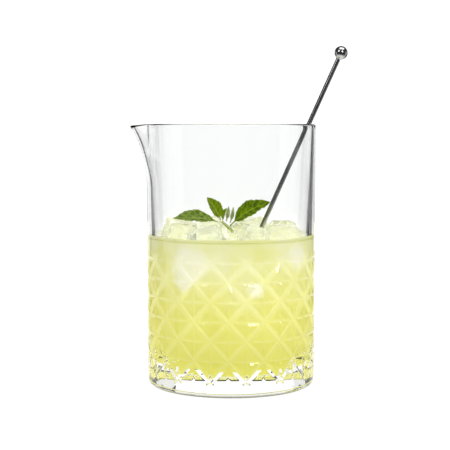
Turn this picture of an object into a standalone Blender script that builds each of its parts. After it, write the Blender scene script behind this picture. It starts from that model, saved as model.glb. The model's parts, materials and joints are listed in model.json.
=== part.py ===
"""Mixing glass with a pouring lip, filled with iced lime drink, a mint sprig and a ball-ended stirrer.

Metres, +Z up. The origin is the centre of the flat face that the glass stands on, the pouring lip points
along -X, and the stirrer leans towards +X. Run with: blender --background --python part.py
"""

import math
import random
from typing import NamedTuple

import bmesh
import bpy
from mathutils import Matrix, Vector

# Glass vessel
GLASS_HEIGHT = 0.150
RIM_RADIUS = 0.0487
FOOT_RADIUS = 0.0478
FOOT_ROUNDING = 0.0038
WALL_AT_RIM = 0.0021
RIM_ROUNDING = 0.0009
CAVITY_RADIUS = 0.0442  # just above the drink's surface, where the wall has reached its full thickness
CAVITY_RADIUS_HEIGHT = 0.089
CAVITY_FLOOR_RADIUS = 0.0425
CAVITY_CORNER_WIDTH = 0.030  # the bottom is a shallow bowl, so the glass is thickest at the foot
CAVITY_CORNER_HEIGHT = 0.033
FLOOR_HEIGHT = 0.0075
MID_WALL_HEIGHT = 0.058
RIM_FLAT = 0.001
FOOT_STEPS = 4
CORNER_STEPS = 7

# Pouring lip
LIP_REACH = 0.0097
LIP_START_HEIGHT = 0.112
LIP_HALF_ANGLE = math.radians(22)
LIP_FLARE_POWER = 2.3
LIP_DROP = 0.0009
LIP_RINGS = 6
LIP_RING_POWER = 0.8  # under 1, so that the rings close up towards the rim

# Cut pattern: diamonds between slanting grooves, each one quartered by a level and an upright groove
DIAMONDS_AROUND = 15
STEPS_PER_DIAMOND = 4
STEPS_AROUND = DIAMONDS_AROUND * STEPS_PER_DIAMOND
STEP_ANGLE = 2 * math.pi / STEPS_AROUND
HALF_ROW = 0.0054
PATTERN_BOTTOM = 0.0038
PATTERN_ROWS = 14
ABOVE_PATTERN_HEIGHT = 0.095
CROSSING_STEP = 45  # a column where slanting grooves cross, on CROSSING_ROW
CROSSING_ROW = 11
SLANT_DEPTH = 0.0009
STAR_DEPTH = 0.0006
OUTER_WALL_MIN_RADIUS = 0.0465  # parts the outer wall's points from the cavity's, below the lip

# Contents
GAP = 0.0003
DRINK_HEIGHT = 0.086
CUBE_SIDE = 0.0166
CUBE_ROUNDING = 0.0022
CUBE_TILT = math.radians(16)
ICE_SEED = 11
ICE_RINGS = (
    # cubes in the ring, ring radius, first cube's direction, lowest and highest centre height
    (3, 0.0139, math.radians(60), 0.0812, 0.0820),
    (8, 0.0326, math.radians(22.5), 0.0840, 0.0870),
)

# Stirrer
ROD_RADIUS = 0.0013
BALL_RADIUS = 0.0039
STIRRER_LEAN = math.radians(24.2)
STIRRER_AT_RIM = Vector((0.0446, 0, GLASS_HEIGHT))
ROD_TIP_HEIGHT = 0.0105
BALL_HEIGHT = 0.1904
SOCKET_DEPTH = 0.0022
SOCKET_GAP = 0.0002

# Mint sprig
LEAF_THICKNESS = 0.0005
LEAF_FOLD = 0.12  # how far the edges lift, as a share of the width
BLADE_SKEW = 0.8  # under 1, so that the blade is widest before its middle
BLADE_FULLNESS = 0.85
LEAF_LENGTH_STEPS = 10
LEAF_WIDTH_STEPS = 4
STALK_WIDTH = 0.0007
STEM_RADIUS = 0.0009
STEM_TAPER = 0.8
STEM_STEPS = 10
STEM_BOTTOM = Vector((0.0016, 0.0010, 0.0870))
STEM_TOP = Vector((-0.0052, -0.0012, 0.0932))


class Leaf(NamedTuple):
    """A leaf from its stalk's foot on the stem to its tip, rolled about its own length."""

    name: str
    foot: tuple
    tip: tuple
    stalk_share: float
    width: float
    roll_degrees: float
    arch: float


LEAVES = (
    Leaf("mint_leaf_left", (-0.0070, -0.0022, 0.0932), (-0.0325, -0.0080, 0.0960), 0.14, 0.0126, -26, 0.0015),
    Leaf("mint_leaf_upright", (-0.0060, -0.0002, 0.0941), (-0.0138, 0.0020, 0.1070), 0.10, 0.0092, 62, 0.0012),
    Leaf("mint_leaf_small", (-0.0046, -0.0026, 0.0940), (-0.0024, -0.0052, 0.1012), 0.10, 0.0050, 75, 0.0006),
    Leaf("mint_leaf_right", (-0.0006, -0.0014, 0.0908), (0.0222, -0.0060, 0.1050), 0.16, 0.0138, 38, 0.0022),
    Leaf("mint_bud_left", (-0.0028, 0.0014, 0.0932), (-0.0014, 0.0024, 0.1016), 0.15, 0.0026, 80, 0.0003),
    Leaf("mint_bud_right", (-0.0006, 0.0020, 0.0924), (0.0012, 0.0030, 0.1012), 0.15, 0.0026, 100, 0.0003),
)

ROD_STEPS = 20
BALL_STEPS = 24

OBJECT_COLLECTION = "mixing_glass"
CUTTER_COLLECTION = "cutters"


def clear_scene():
    for obj in list(bpy.data.objects):
        bpy.data.objects.remove(obj, do_unlink=True)


def new_collection(name):
    collection = bpy.data.collections.new(name)
    bpy.context.scene.collection.children.link(collection)
    return collection


def material(name, colour, roughness, metallic=0.0, transmission=0.0):
    """A Principled material in the sub-part's own colour."""
    made = bpy.data.materials.new(name)
    made.use_nodes = True
    shader = made.node_tree.nodes["Principled BSDF"]
    shader.inputs["Base Color"].default_value = (*colour, 1.0)
    shader.inputs["Roughness"].default_value = roughness
    shader.inputs["Metallic"].default_value = metallic
    shader.inputs["Transmission Weight"].default_value = transmission
    return made


def link_mesh(name, mesh, collection, finish=None):
    obj = bpy.data.objects.new(name, mesh)
    collection.objects.link(obj)
    if finish:
        mesh.materials.append(finish)
    return obj


def set_parent(child, parent):
    """Parents child to an empty and leaves it where it stands."""
    bpy.context.view_layer.update()
    child.parent = parent
    child.matrix_parent_inverse = parent.matrix_world.inverted()


def new_empty(name, matrix, collection):
    empty = bpy.data.objects.new(name, None)
    collection.objects.link(empty)
    empty.matrix_world = matrix
    return empty


def smooth(mesh, angle=math.radians(35)):
    mesh.shade_smooth()
    mesh.set_sharp_from_angle(angle=angle)


def turned(name, profile, steps, collection, finish=None):
    """A solid of revolution about Z: profile is (radius, height) points, down the outer side."""
    mesh = bpy.data.meshes.new(name)
    points = [(radius, 0, height) for radius, height in profile]
    mesh.from_pydata(points, [(i, i + 1) for i in range(len(points) - 1)], [])
    obj = link_mesh(name, mesh, collection, finish)
    screw = obj.modifiers.new("turn", "SCREW")
    screw.steps = screw.render_steps = steps
    screw.use_merge_vertices = True
    screw.merge_threshold = 0.00001
    screw.use_smooth_shade = False
    return obj


def applied(obj):
    """Makes the object's evaluated mesh its own, and returns it."""
    graph = bpy.context.evaluated_depsgraph_get()
    mesh = bpy.data.meshes.new_from_object(obj.evaluated_get(graph))
    obj.modifiers.clear()
    obj.data = mesh
    return mesh


def arc(centre, radius, start, end, count):
    """Points on an arc from start to end, in degrees, both ends included."""
    angles = (math.radians(start + (end - start) * i / count) for i in range(count + 1))
    return [(centre[0] + radius * math.cos(a), centre[1] + radius * math.sin(a)) for a in angles]


def wall_radius(height):
    """The outer wall's radius, which tapers evenly from rim to foot."""
    return FOOT_RADIUS + (RIM_RADIUS - FOOT_RADIUS) * height / GLASS_HEIGHT


def cavity_radius(height):
    """The cavity's radius above its bottom corner. The wall thins from the drink's level to the rim."""
    rim = RIM_RADIUS - WALL_AT_RIM
    if height >= CAVITY_RADIUS_HEIGHT:
        share = (height - CAVITY_RADIUS_HEIGHT) / (GLASS_HEIGHT - CAVITY_RADIUS_HEIGHT)
        return CAVITY_RADIUS + (rim - CAVITY_RADIUS) * share
    corner_top = FLOOR_HEIGHT + CAVITY_CORNER_HEIGHT
    share = (height - corner_top) / (CAVITY_RADIUS_HEIGHT - corner_top)
    return CAVITY_FLOOR_RADIUS + (CAVITY_RADIUS - CAVITY_FLOOR_RADIUS) * share


def cavity_corner(inset):
    """The cavity's rounded bottom corner, from the floor up to the wall, taken in by inset."""
    centre = (CAVITY_FLOOR_RADIUS - CAVITY_CORNER_WIDTH, FLOOR_HEIGHT + CAVITY_CORNER_HEIGHT)
    unit = arc((0, 0), 1, -90, 0, CORNER_STEPS)
    width, height = CAVITY_CORNER_WIDTH - inset, CAVITY_CORNER_HEIGHT - inset
    return [(centre[0] + width * x, centre[1] + height * z) for x, z in unit]


def lip_heights():
    """Heights of the wall's rings where the lip flares, from the bottom up."""
    rise = GLASS_HEIGHT - RIM_ROUNDING - LIP_START_HEIGHT
    return [LIP_START_HEIGHT + rise * (ring / LIP_RINGS) ** LIP_RING_POWER for ring in range(LIP_RINGS + 1)]


def vessel_profile():
    """(radius, height) points from the cavity's floor, over the rim and down to the foot's centre."""
    lip = lip_heights()
    inside = [(cavity_radius(z), z) for z in [MID_WALL_HEIGHT, CAVITY_RADIUS_HEIGHT, *lip]]
    rim_centre = RIM_RADIUS - WALL_AT_RIM / 2
    rim = [(rim_centre - RIM_FLAT / 2, GLASS_HEIGHT), (rim_centre + RIM_FLAT / 2, GLASS_HEIGHT)]
    outside = [(wall_radius(z), z) for z in [*reversed(lip), ABOVE_PATTERN_HEIGHT]]
    pattern = [PATTERN_BOTTOM + HALF_ROW * row for row in range(PATTERN_ROWS, -1, -1)]
    outside += [(wall_radius(z), z) for z in pattern]
    foot = arc((FOOT_RADIUS - FOOT_ROUNDING, FOOT_ROUNDING), FOOT_ROUNDING, 0, -90, FOOT_STEPS)[1:]
    return [(0, FLOOR_HEIGHT), *cavity_corner(0), *inside, *rim, *outside, *foot, (0, 0)]


def lattice_place(vert):
    """The vertex's (column, row) on the cut pattern's lattice."""
    column = round(math.atan2(vert.co.y, vert.co.x) / STEP_ANGLE) % STEPS_AROUND
    return column, round((vert.co.z - PATTERN_BOTTOM) / HALF_ROW)


def is_crossing(column, row):
    """Whether grooves cross at a point of odd column and row. A diamond's middle is there if they don't."""
    return ((column - CROSSING_STEP) // 2 + (row - CROSSING_ROW) // 2) % 2 == 0


def groove_depth(column, row):
    """How deep the cut is at a point of the lattice, on a slanting groove or on a diamond's star."""
    if row in (0, PATTERN_ROWS):
        return 0.0
    on_slant = column % 2 == 0 and row % 2 == 0
    at_crossing = column % 2 == 1 and row % 2 == 1 and is_crossing(column, row)
    return SLANT_DEPTH if on_slant or at_crossing else STAR_DEPTH


def pattern_faces(bm):
    """The outer wall's faces between the cut pattern's lowest and highest rows."""
    margin = HALF_ROW / 10
    bottom, top = PATTERN_BOTTOM - margin, PATTERN_BOTTOM + HALF_ROW * PATTERN_ROWS + margin

    def holds(vert):
        return bottom < vert.co.z < top and vert.co.xy.length > OUTER_WALL_MIN_RADIUS

    return [face for face in bm.faces if all(holds(vert) for vert in face.verts)]


def cut_pattern(bm):
    """Presses the grooves into the outer wall. The facets' middles beside a star stay at its full radius."""
    band = pattern_faces(bm)
    lattice = {vert for face in band for vert in face.verts}
    facets = []
    for face in band:
        corners = {lattice_place(vert): vert for vert in face.verts}
        odd = next(place for place in corners if place[0] % 2 == 1 and place[1] % 2 == 1)
        even = next(place for place in corners if place[0] % 2 == 0 and place[1] % 2 == 0)
        if is_crossing(*odd):
            bmesh.utils.face_split(face, corners[odd], corners[even])
        else:
            facets.append(face)
    for vert in lattice:
        radius = vert.co.xy.length
        vert.co.xy *= (radius - groove_depth(*lattice_place(vert))) / radius
    for middle in bmesh.ops.poke(bm, faces=facets)["verts"]:
        middle.co.xy *= wall_radius(middle.co.z) / middle.co.xy.length


def pull_lip(bm):
    """Draws the wall out towards -X near the rim, as the hot glass is pulled into a lip."""
    for vert in bm.verts:
        angle = abs(math.atan2(vert.co.y, -vert.co.x))
        if vert.co.z <= LIP_START_HEIGHT or angle >= LIP_HALF_ANGLE:
            continue
        rise = (vert.co.z - LIP_START_HEIGHT) / (GLASS_HEIGHT - LIP_START_HEIGHT)
        bell = math.cos(math.pi / 2 * angle / LIP_HALF_ANGLE) ** 2
        outward = vert.co.xy.normalized()
        vert.co.xy += outward * LIP_REACH * bell * rise**LIP_FLARE_POWER
        vert.co.z -= LIP_DROP * bell * rise**4


def make_vessel(collection, finish):
    vessel = turned("glass_vessel", vessel_profile(), STEPS_AROUND, collection, finish)
    mesh = applied(vessel)
    bm = bmesh.new()
    bm.from_mesh(mesh)
    cut_pattern(bm)
    pull_lip(bm)
    bm.to_mesh(mesh)
    bm.free()
    smooth(mesh)
    return vessel


def cube_places():
    """Each ice cube's place: rings of cubes round the middle, turned and tilted a little."""
    rng = random.Random(ICE_SEED)
    places = []
    for count, ring_radius, first, low, high in ICE_RINGS:
        for index in range(count):
            direction = first + 2 * math.pi * index / count
            centre = Vector((ring_radius * math.cos(direction), ring_radius * math.sin(direction), 0))
            centre.z = rng.uniform(low, high)
            turn = Matrix.Rotation(direction + rng.uniform(-0.2, 0.2), 4, "Z")
            tilt_axis = Vector((rng.uniform(-1, 1), rng.uniform(-1, 1), 0)).normalized()
            tilt = Matrix.Rotation(CUBE_TILT * rng.uniform(0.4, 1), 4, tilt_axis)
            places.append(Matrix.Translation(centre) @ tilt @ turn)
    return places


def cube_mesh(name, side):
    """An ice cube with melted, rounded edges, centred on its own origin."""
    bm = bmesh.new()
    bmesh.ops.create_cube(bm, size=side)
    bmesh.ops.bevel(bm, geom=bm.edges[:], offset=CUBE_ROUNDING, segments=2, profile=0.5, affect="EDGES")
    mesh = bpy.data.meshes.new(name)
    bm.to_mesh(mesh)
    bm.free()
    smooth(mesh)
    return mesh


def make_ice(collection, cutters, finish):
    """The floating cubes, and a slightly larger cutter for the hollow that each makes in the drink."""
    cubes = []
    cube = cube_mesh("ice_cube", CUBE_SIDE)
    cube.materials.append(finish)
    hollow = cube_mesh("ice_hollow", CUBE_SIDE + 2 * GAP)
    for number, place in enumerate(cube_places(), 1):
        obj = link_mesh(f"ice_cube_{number:02d}", cube, collection)
        obj.matrix_world = place
        cubes.append(obj)
        cutter = link_mesh(f"ice_hollow_{number:02d}", hollow, cutters)
        cutter.matrix_world = place
        cutter.hide_render = True
        cutter.display_type = "WIRE"
    return cubes


def stirrer_matrix():
    """The stirrer's own frame: its origin at the rod's tip, and Z along the rod towards the ball."""
    lean = Matrix.Rotation(STIRRER_LEAN, 4, "Y")
    along = lean.to_3x3() @ Vector((0, 0, 1))
    tip = STIRRER_AT_RIM + along * ((ROD_TIP_HEIGHT - GLASS_HEIGHT) / along.z)
    return Matrix.Translation(tip) @ lean


def ball_distance():
    """From the rod's tip to the ball's centre, along the rod."""
    return (BALL_HEIGHT - ROD_TIP_HEIGHT) / math.cos(STIRRER_LEAN)


def rod_profile(radius, length):
    """A rod whose lower end is round."""
    return [(0, length), (radius, length), *arc((0, radius), radius, 0, -90, 4)]


def make_stirrer(collection, cutters, rod_finish, ball_finish):
    """The rod, and the ball that is welded on its upper end."""
    frame = stirrer_matrix()
    rod_length = ball_distance() - SOCKET_DEPTH
    rod = turned("stirrer_rod", rod_profile(ROD_RADIUS, rod_length), ROD_STEPS, collection, rod_finish)
    rod.matrix_world = frame
    bm = bmesh.new()
    bmesh.ops.create_uvsphere(bm, u_segments=BALL_STEPS, v_segments=BALL_STEPS // 2, radius=BALL_RADIUS)
    mesh = bpy.data.meshes.new("stirrer_ball")
    bm.to_mesh(mesh)
    bm.free()
    smooth(mesh)
    ball = link_mesh("stirrer_ball", mesh, collection, ball_finish)
    ball.matrix_world = frame @ Matrix.Translation((0, 0, ball_distance()))
    socket_radius = ROD_RADIUS + SOCKET_GAP
    socket_length = ball_distance() - SOCKET_DEPTH + SOCKET_GAP
    socket = turned("ball_socket", rod_profile(socket_radius, socket_length), ROD_STEPS, cutters)
    socket.matrix_world = frame
    bore_radius = ROD_RADIUS + GAP
    bore = turned("stirrer_bore", rod_profile(bore_radius, rod_length + GAP), ROD_STEPS, cutters)
    bore.matrix_world = frame @ Matrix.Translation((0, 0, -GAP))
    for cutter in (socket, bore):
        cutter.hide_render = True
        cutter.display_type = "WIRE"
    cut = ball.modifiers.new("socket", "BOOLEAN")
    cut.operation = "DIFFERENCE"
    cut.object = socket
    return rod, ball, bore


def make_drink(collection, cutters, finish, bore):
    """The liquid: it fills the cavity, and closes round the ice and the rod."""
    top = DRINK_HEIGHT
    upper = [(cavity_radius(z) - GAP, z) for z in (top, MID_WALL_HEIGHT)]
    profile = [(0, top), *upper, *reversed(cavity_corner(GAP)), (0, FLOOR_HEIGHT + GAP)]
    drink = turned("drink", profile, STEPS_AROUND, collection, finish)
    for cutter in [obj for obj in cutters.objects if obj.name.startswith("ice_hollow")] + [bore]:
        cut = drink.modifiers.new(cutter.name, "BOOLEAN")
        cut.operation = "DIFFERENCE"
        cut.object = cutter
    return drink


def leaf_half_width(leaf, along):
    """Half the width at a share of the length: a narrow stalk, then a blade, widest before its middle."""
    blade = (along - leaf.stalk_share) / (1 - leaf.stalk_share)
    if not 0 < blade < 1:
        return STALK_WIDTH / 2
    swell = math.sin(math.pi * blade**BLADE_SKEW) ** BLADE_FULLNESS
    return max(leaf.width / 2 * swell, STALK_WIDTH / 2)


def leaf_frame(leaf):
    """The leaf's own frame: X from foot to tip, and Z off its upper side."""
    foot, tip = Vector(leaf.foot), Vector(leaf.tip)
    forward = (tip - foot).normalized()
    side = Vector((0, 0, 1)).cross(forward).normalized()
    axes = Matrix((forward, side, forward.cross(side))).transposed().to_4x4()
    return Matrix.Translation(foot) @ axes @ Matrix.Rotation(math.radians(leaf.roll_degrees), 4, "X")


def make_leaf(leaf, collection, finish):
    """A thin sheet, arched along its midrib and folded a little across it, given its thickness."""
    length = (Vector(leaf.tip) - Vector(leaf.foot)).length
    bm = bmesh.new()
    bmesh.ops.create_grid(bm, x_segments=LEAF_LENGTH_STEPS, y_segments=LEAF_WIDTH_STEPS, size=1)
    for vert in bm.verts:
        along, across = (vert.co.x + 1) / 2, vert.co.y
        bow = math.sin(math.pi * along)
        fold = leaf.width * LEAF_FOLD * abs(across) * bow
        vert.co = Vector((along * length, across * leaf_half_width(leaf, along), fold + leaf.arch * bow))
    mesh = bpy.data.meshes.new(leaf.name)
    bm.to_mesh(mesh)
    bm.free()
    smooth(mesh)
    obj = link_mesh(leaf.name, mesh, collection, finish)
    obj.matrix_world = leaf_frame(leaf)
    thickness = obj.modifiers.new("thickness", "SOLIDIFY")
    thickness.thickness = LEAF_THICKNESS
    thickness.offset = 0
    return obj


def make_stem(collection, finish):
    """The sprig's short stem, which leans in the gap between the middle cubes."""
    along = STEM_TOP - STEM_BOTTOM
    profile = [(0, along.length), (STEM_RADIUS * STEM_TAPER, along.length), (STEM_RADIUS, 0), (0, 0)]
    stem = turned("mint_stem", profile, STEM_STEPS, collection, finish)
    turn = along.to_track_quat("Z", "Y").to_matrix().to_4x4()
    stem.matrix_world = Matrix.Translation(STEM_BOTTOM) @ turn
    return stem


def main():
    clear_scene()
    parts = new_collection(OBJECT_COLLECTION)
    cutters = new_collection(CUTTER_COLLECTION)
    clear_glass = material("clear_glass", (0.97, 0.98, 0.98), 0.02, transmission=1.0)
    lime_drink = material("lime_drink", (0.82, 0.80, 0.22), 0.25)
    clear_ice = material("clear_ice", (0.93, 0.95, 0.86), 0.10, transmission=0.8)
    mint_green = material("mint_green", (0.13, 0.24, 0.02), 0.45)
    satin_steel = material("satin_steel", (0.55, 0.55, 0.55), 0.22, metallic=1.0)
    bright_steel = material("bright_steel", (0.72, 0.72, 0.72), 0.06, metallic=1.0)

    make_vessel(parts, clear_glass)
    cubes = make_ice(parts, cutters, clear_ice)
    rod, ball, bore = make_stirrer(parts, cutters, satin_steel, bright_steel)
    drink = make_drink(parts, cutters, lime_drink, bore)
    sprig = [make_stem(parts, mint_green)]
    sprig += [make_leaf(leaf, parts, mint_green) for leaf in LEAVES]

    stirring_axis = new_empty("stirring_axis", Matrix.Identity(4), parts)
    stirrer_axis = new_empty("stirrer_axis", stirrer_matrix(), parts)
    sprig_axis = new_empty("sprig_axis", Matrix.Translation(STEM_BOTTOM), parts)
    for child in (stirrer_axis, sprig_axis, drink, *cubes):
        set_parent(child, stirring_axis)
    for child in (rod, ball):
        set_parent(child, stirrer_axis)
    for child in sprig:
        set_parent(child, sprig_axis)


main()
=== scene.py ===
"""Mixing glass with iced lime drink, a mint sprig and a ball-ended stirrer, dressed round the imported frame.

Metres, +Z up. The glass stands on z = 0 round the Z axis, its pouring lip points along -X, and the stirrer
leans towards +X. Each sub-assembly is a class that builds its own meshes and dresses them.
"""

from __future__ import annotations

import json
import logging
import math
import random
from dataclasses import dataclass
from enum import Enum
from typing import Any, Iterable, Sequence

import bmesh
import bpy
from bmesh.types import BMEdge, BMVert, BMesh
from bpy.types import Material, Mesh, Object
from mathutils import Matrix, Vector, noise
from mathutils.bvhtree import BVHTree

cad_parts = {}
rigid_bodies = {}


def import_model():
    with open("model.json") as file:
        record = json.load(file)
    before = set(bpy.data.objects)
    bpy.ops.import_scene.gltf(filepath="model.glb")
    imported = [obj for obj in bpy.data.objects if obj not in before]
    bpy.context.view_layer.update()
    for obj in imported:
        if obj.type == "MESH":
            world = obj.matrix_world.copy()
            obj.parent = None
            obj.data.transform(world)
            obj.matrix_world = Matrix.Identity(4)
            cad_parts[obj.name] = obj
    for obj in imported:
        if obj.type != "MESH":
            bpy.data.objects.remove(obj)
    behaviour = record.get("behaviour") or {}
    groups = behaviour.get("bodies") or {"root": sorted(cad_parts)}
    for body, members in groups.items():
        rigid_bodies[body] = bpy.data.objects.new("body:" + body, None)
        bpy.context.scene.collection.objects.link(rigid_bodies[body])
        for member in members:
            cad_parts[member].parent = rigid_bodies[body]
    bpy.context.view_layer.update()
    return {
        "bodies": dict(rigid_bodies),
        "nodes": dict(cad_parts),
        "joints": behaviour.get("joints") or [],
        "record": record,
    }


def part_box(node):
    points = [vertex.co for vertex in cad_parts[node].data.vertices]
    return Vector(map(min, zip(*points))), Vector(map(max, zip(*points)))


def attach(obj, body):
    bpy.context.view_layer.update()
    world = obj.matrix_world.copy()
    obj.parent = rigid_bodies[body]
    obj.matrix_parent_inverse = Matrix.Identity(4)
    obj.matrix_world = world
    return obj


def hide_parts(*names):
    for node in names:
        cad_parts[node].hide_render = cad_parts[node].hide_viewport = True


LOG = logging.getLogger("mixing_glass")
MM = 0.001
Triple = tuple[float, float, float]
Colour = Triple
Pair = tuple[float, float]
Profile = list[Pair]


class Body(str, Enum):
    """The frame's rigid bodies."""

    GLASS = "glass"
    CONTENTS = "contents"
    STIRRER = "stirrer"
    SPRIG = "sprig"


class Slot(str, Enum):
    """The record's material slots."""

    GLASS = "clear_glass"
    DRINK = "lime_drink"
    ICE = "clear_ice"
    ROD = "satin_steel"
    BALL = "bright_steel"
    STEM = "mint_stem"
    LEAF = "mint_leaf"


def linear(red: int, green: int, blue: int) -> Colour:
    """A display colour, 0 to 255 each, as the linear light that it shows."""
    shares = [value / 255 for value in (red, green, blue)]
    return tuple(s / 12.92 if s <= 0.04045 else ((s + 0.055) / 1.055) ** 2.4 for s in shares)


def clamp01(value: float) -> float:
    """The value kept between 0 and 1."""
    return min(1.0, max(0.0, value))


def ease(value: float) -> float:
    """A smooth step from 0 to 1 as the value goes from 0 to 1."""
    held = clamp01(value)
    return held * held * (3 - 2 * held)


# ----------------------------------------------------------
# Shader nodes


class Wire:
    """A shader socket's value, on which Python arithmetic adds Math nodes."""

    def __init__(self, shading: "Shading", socket: bpy.types.NodeSocket) -> None:
        """Wraps one output socket of the shading's tree."""
        self.shading = shading
        self.socket = socket

    def _math(self, operation: str, *values: Any, clamp: bool = False) -> "Wire":
        """One Math node on the given values."""
        settings = {"operation": operation, "use_clamp": clamp}
        return self.shading.node("ShaderNodeMath", settings, dict(enumerate(values)))

    def __add__(self, other: Any) -> "Wire":
        """self + other."""
        return self._math("ADD", self, other)

    __radd__ = __add__

    def __sub__(self, other: Any) -> "Wire":
        """self - other."""
        return self._math("SUBTRACT", self, other)

    def __rsub__(self, other: Any) -> "Wire":
        """other - self."""
        return self._math("SUBTRACT", other, self)

    def __mul__(self, other: Any) -> "Wire":
        """self * other."""
        return self._math("MULTIPLY", self, other)

    __rmul__ = __mul__

    def __truediv__(self, other: Any) -> "Wire":
        """self / other."""
        return self._math("DIVIDE", self, other)

    def __rtruediv__(self, other: Any) -> "Wire":
        """other / self."""
        return self._math("DIVIDE", other, self)

    def __pow__(self, other: Any) -> "Wire":
        """self to a power."""
        return self._math("POWER", self, other)

    def __rpow__(self, other: Any) -> "Wire":
        """other to this power."""
        return self._math("POWER", other, self)

    def size(self) -> "Wire":
        """The value without its sign."""
        return self._math("ABSOLUTE", self)

    def held(self) -> "Wire":
        """The value kept between 0 and 1."""
        return self._math("ADD", self, 0.0, clamp=True)


class Shading:
    """One material's node tree, with a single method that adds any node."""

    def __init__(self, name: str) -> None:
        """Makes an empty material of that name with a Principled shader on its output."""
        self.material = bpy.data.materials.new(name)
        self.material.use_nodes = True
        self.tree = self.material.node_tree
        self.tree.nodes.clear()
        self.output = self.tree.nodes.new("ShaderNodeOutputMaterial")
        self.shader = self.tree.nodes.new("ShaderNodeBsdfPrincipled")
        self.tree.links.new(self.shader.outputs["BSDF"], self.output.inputs["Surface"])

    def feed(self, socket: bpy.types.NodeSocket, value: Any) -> None:
        """Links a Wire to a socket, or sets the socket to a plain value."""
        if isinstance(value, Wire):
            self.tree.links.new(value.socket, socket)
        elif isinstance(value, tuple) and len(value) == 3 and len(socket.default_value) == 4:
            socket.default_value = (*value, 1.0)
        else:
            socket.default_value = value

    def node(self, kind: str, settings: dict[str, Any], inputs: dict[Any, Any], output: Any = 0) -> Wire:
        """Adds a node.

        Args:
            kind: The node's type.
            settings: Its properties, set first. A ramp's stops are a list of (place, colour) under "stops".
            inputs: Values or Wires by socket name or number.
            output: The name or number of the socket to hand on.

        Returns:
            The chosen output as a Wire.
        """
        made = self.tree.nodes.new(kind)
        for key, value in settings.items():
            if key == "stops":
                self._set_stops(made.color_ramp, value)
            else:
                setattr(made, key, value)
        for key, value in inputs.items():
            self.feed(made.inputs[key], value)
        return Wire(self, made.outputs[output])

    @staticmethod
    def _set_stops(ramp: bpy.types.ColorRamp, stops: Sequence[tuple[float, Colour]]) -> None:
        """Sets a colour ramp's stops."""
        while len(ramp.elements) < len(stops):
            ramp.elements.new(1.0)
        for element, (place, colour) in zip(ramp.elements, stops):
            element.position = place
            element.color = (*colour, 1.0)

    def place(self, axis: str) -> Wire:
        """One of the surface point's object coordinates, in metres."""
        spot = self.node("ShaderNodeTexCoord", {}, {}, "Object")
        return self.node("ShaderNodeSeparateXYZ", {}, {0: spot}, axis)

    def grain(self, scale: float, detail: float = 2.0, stretch: Triple = (1, 1, 1)) -> Wire:
        """Noise on object coordinates: scale is in features per metre, stretched along each axis."""
        spot = self.node("ShaderNodeTexCoord", {}, {}, "Object")
        spot = self.node("ShaderNodeMapping", {}, {"Vector": spot, "Scale": stretch})
        inputs = {"Vector": spot, "Scale": scale, "Detail": detail}
        return self.node("ShaderNodeTexNoise", {}, inputs, "Fac")

    def attribute(self, name: str) -> Wire:
        """A number stored on the mesh's points."""
        return self.node("ShaderNodeAttribute", {"attribute_name": name}, {}, "Fac")

    def ramp(self, value: Wire, stops: Sequence[tuple[float, Colour]]) -> Wire:
        """A colour read off a ramp."""
        return self.node("ShaderNodeValToRGB", {"stops": stops}, {0: value}, "Color")

    def blend(self, share: Any, first: Any, second: Any) -> Wire:
        """A colour between two colours, by share."""
        return self.node("ShaderNodeMix", {"data_type": "RGBA"}, {0: share, 6: first, 7: second}, 2)

    def bump(self, height: Wire, strength: float, distance: float) -> Wire:
        """A normal from a height, whose full step is distance in metres."""
        inputs = {"Height": height, "Strength": strength, "Distance": distance}
        return self.node("ShaderNodeBump", {}, inputs, "Normal")

    def finish(self, **values: Any) -> Material:
        """Sets the shader's sockets, with _ for a space in their names, and returns the material."""
        for key, value in values.items():
            self.feed(self.shader.inputs[key.replace("_", " ")], value)
        return self.material


# ----------------------------------------------------------
# Finishes


@dataclass(frozen=True)
class ClearGlass:
    """Clear pressed glass, with painted light along its cuts, painted shade at their edges and a painted dark
    line round its foot.
    """

    tint: Colour = (0.985, 0.992, 0.988)
    # Painted shade: a darker tint along the cut edges and just below each level cut.
    cut_edge: Colour = (0.94, 0.94, 0.82)
    # Painted light: a faint glow along the cut floors and glints on the level cuts.
    cut_painted_glow: Colour = (0.045, 0.045, 0.055)
    # Painted shade: a near-black tint in a line round the foot's lower edge.
    foot_line: Colour = (0.03, 0.03, 0.035)
    refraction: float = 1.5

    def make(self) -> Material:
        """The material, with painted light glowing along its cuts' floors, painted shade at their edges and a
        painted dark line round its foot.
        """
        shading = Shading("clear_glass")
        return shading.finish(
            Base_Color=shading.blend(
                shading.attribute("foot_line"),
                shading.blend(shading.attribute("cut_edge"), self.tint, self.cut_edge),
                self.foot_line,
            ),
            Roughness=0.0,
            IOR=self.refraction,
            Transmission_Weight=1.0,
            Emission_Color=shading.blend(shading.attribute("cut_floor"), (0.0, 0.0, 0.0), self.cut_painted_glow),
            Emission_Strength=1.0,
        )


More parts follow.
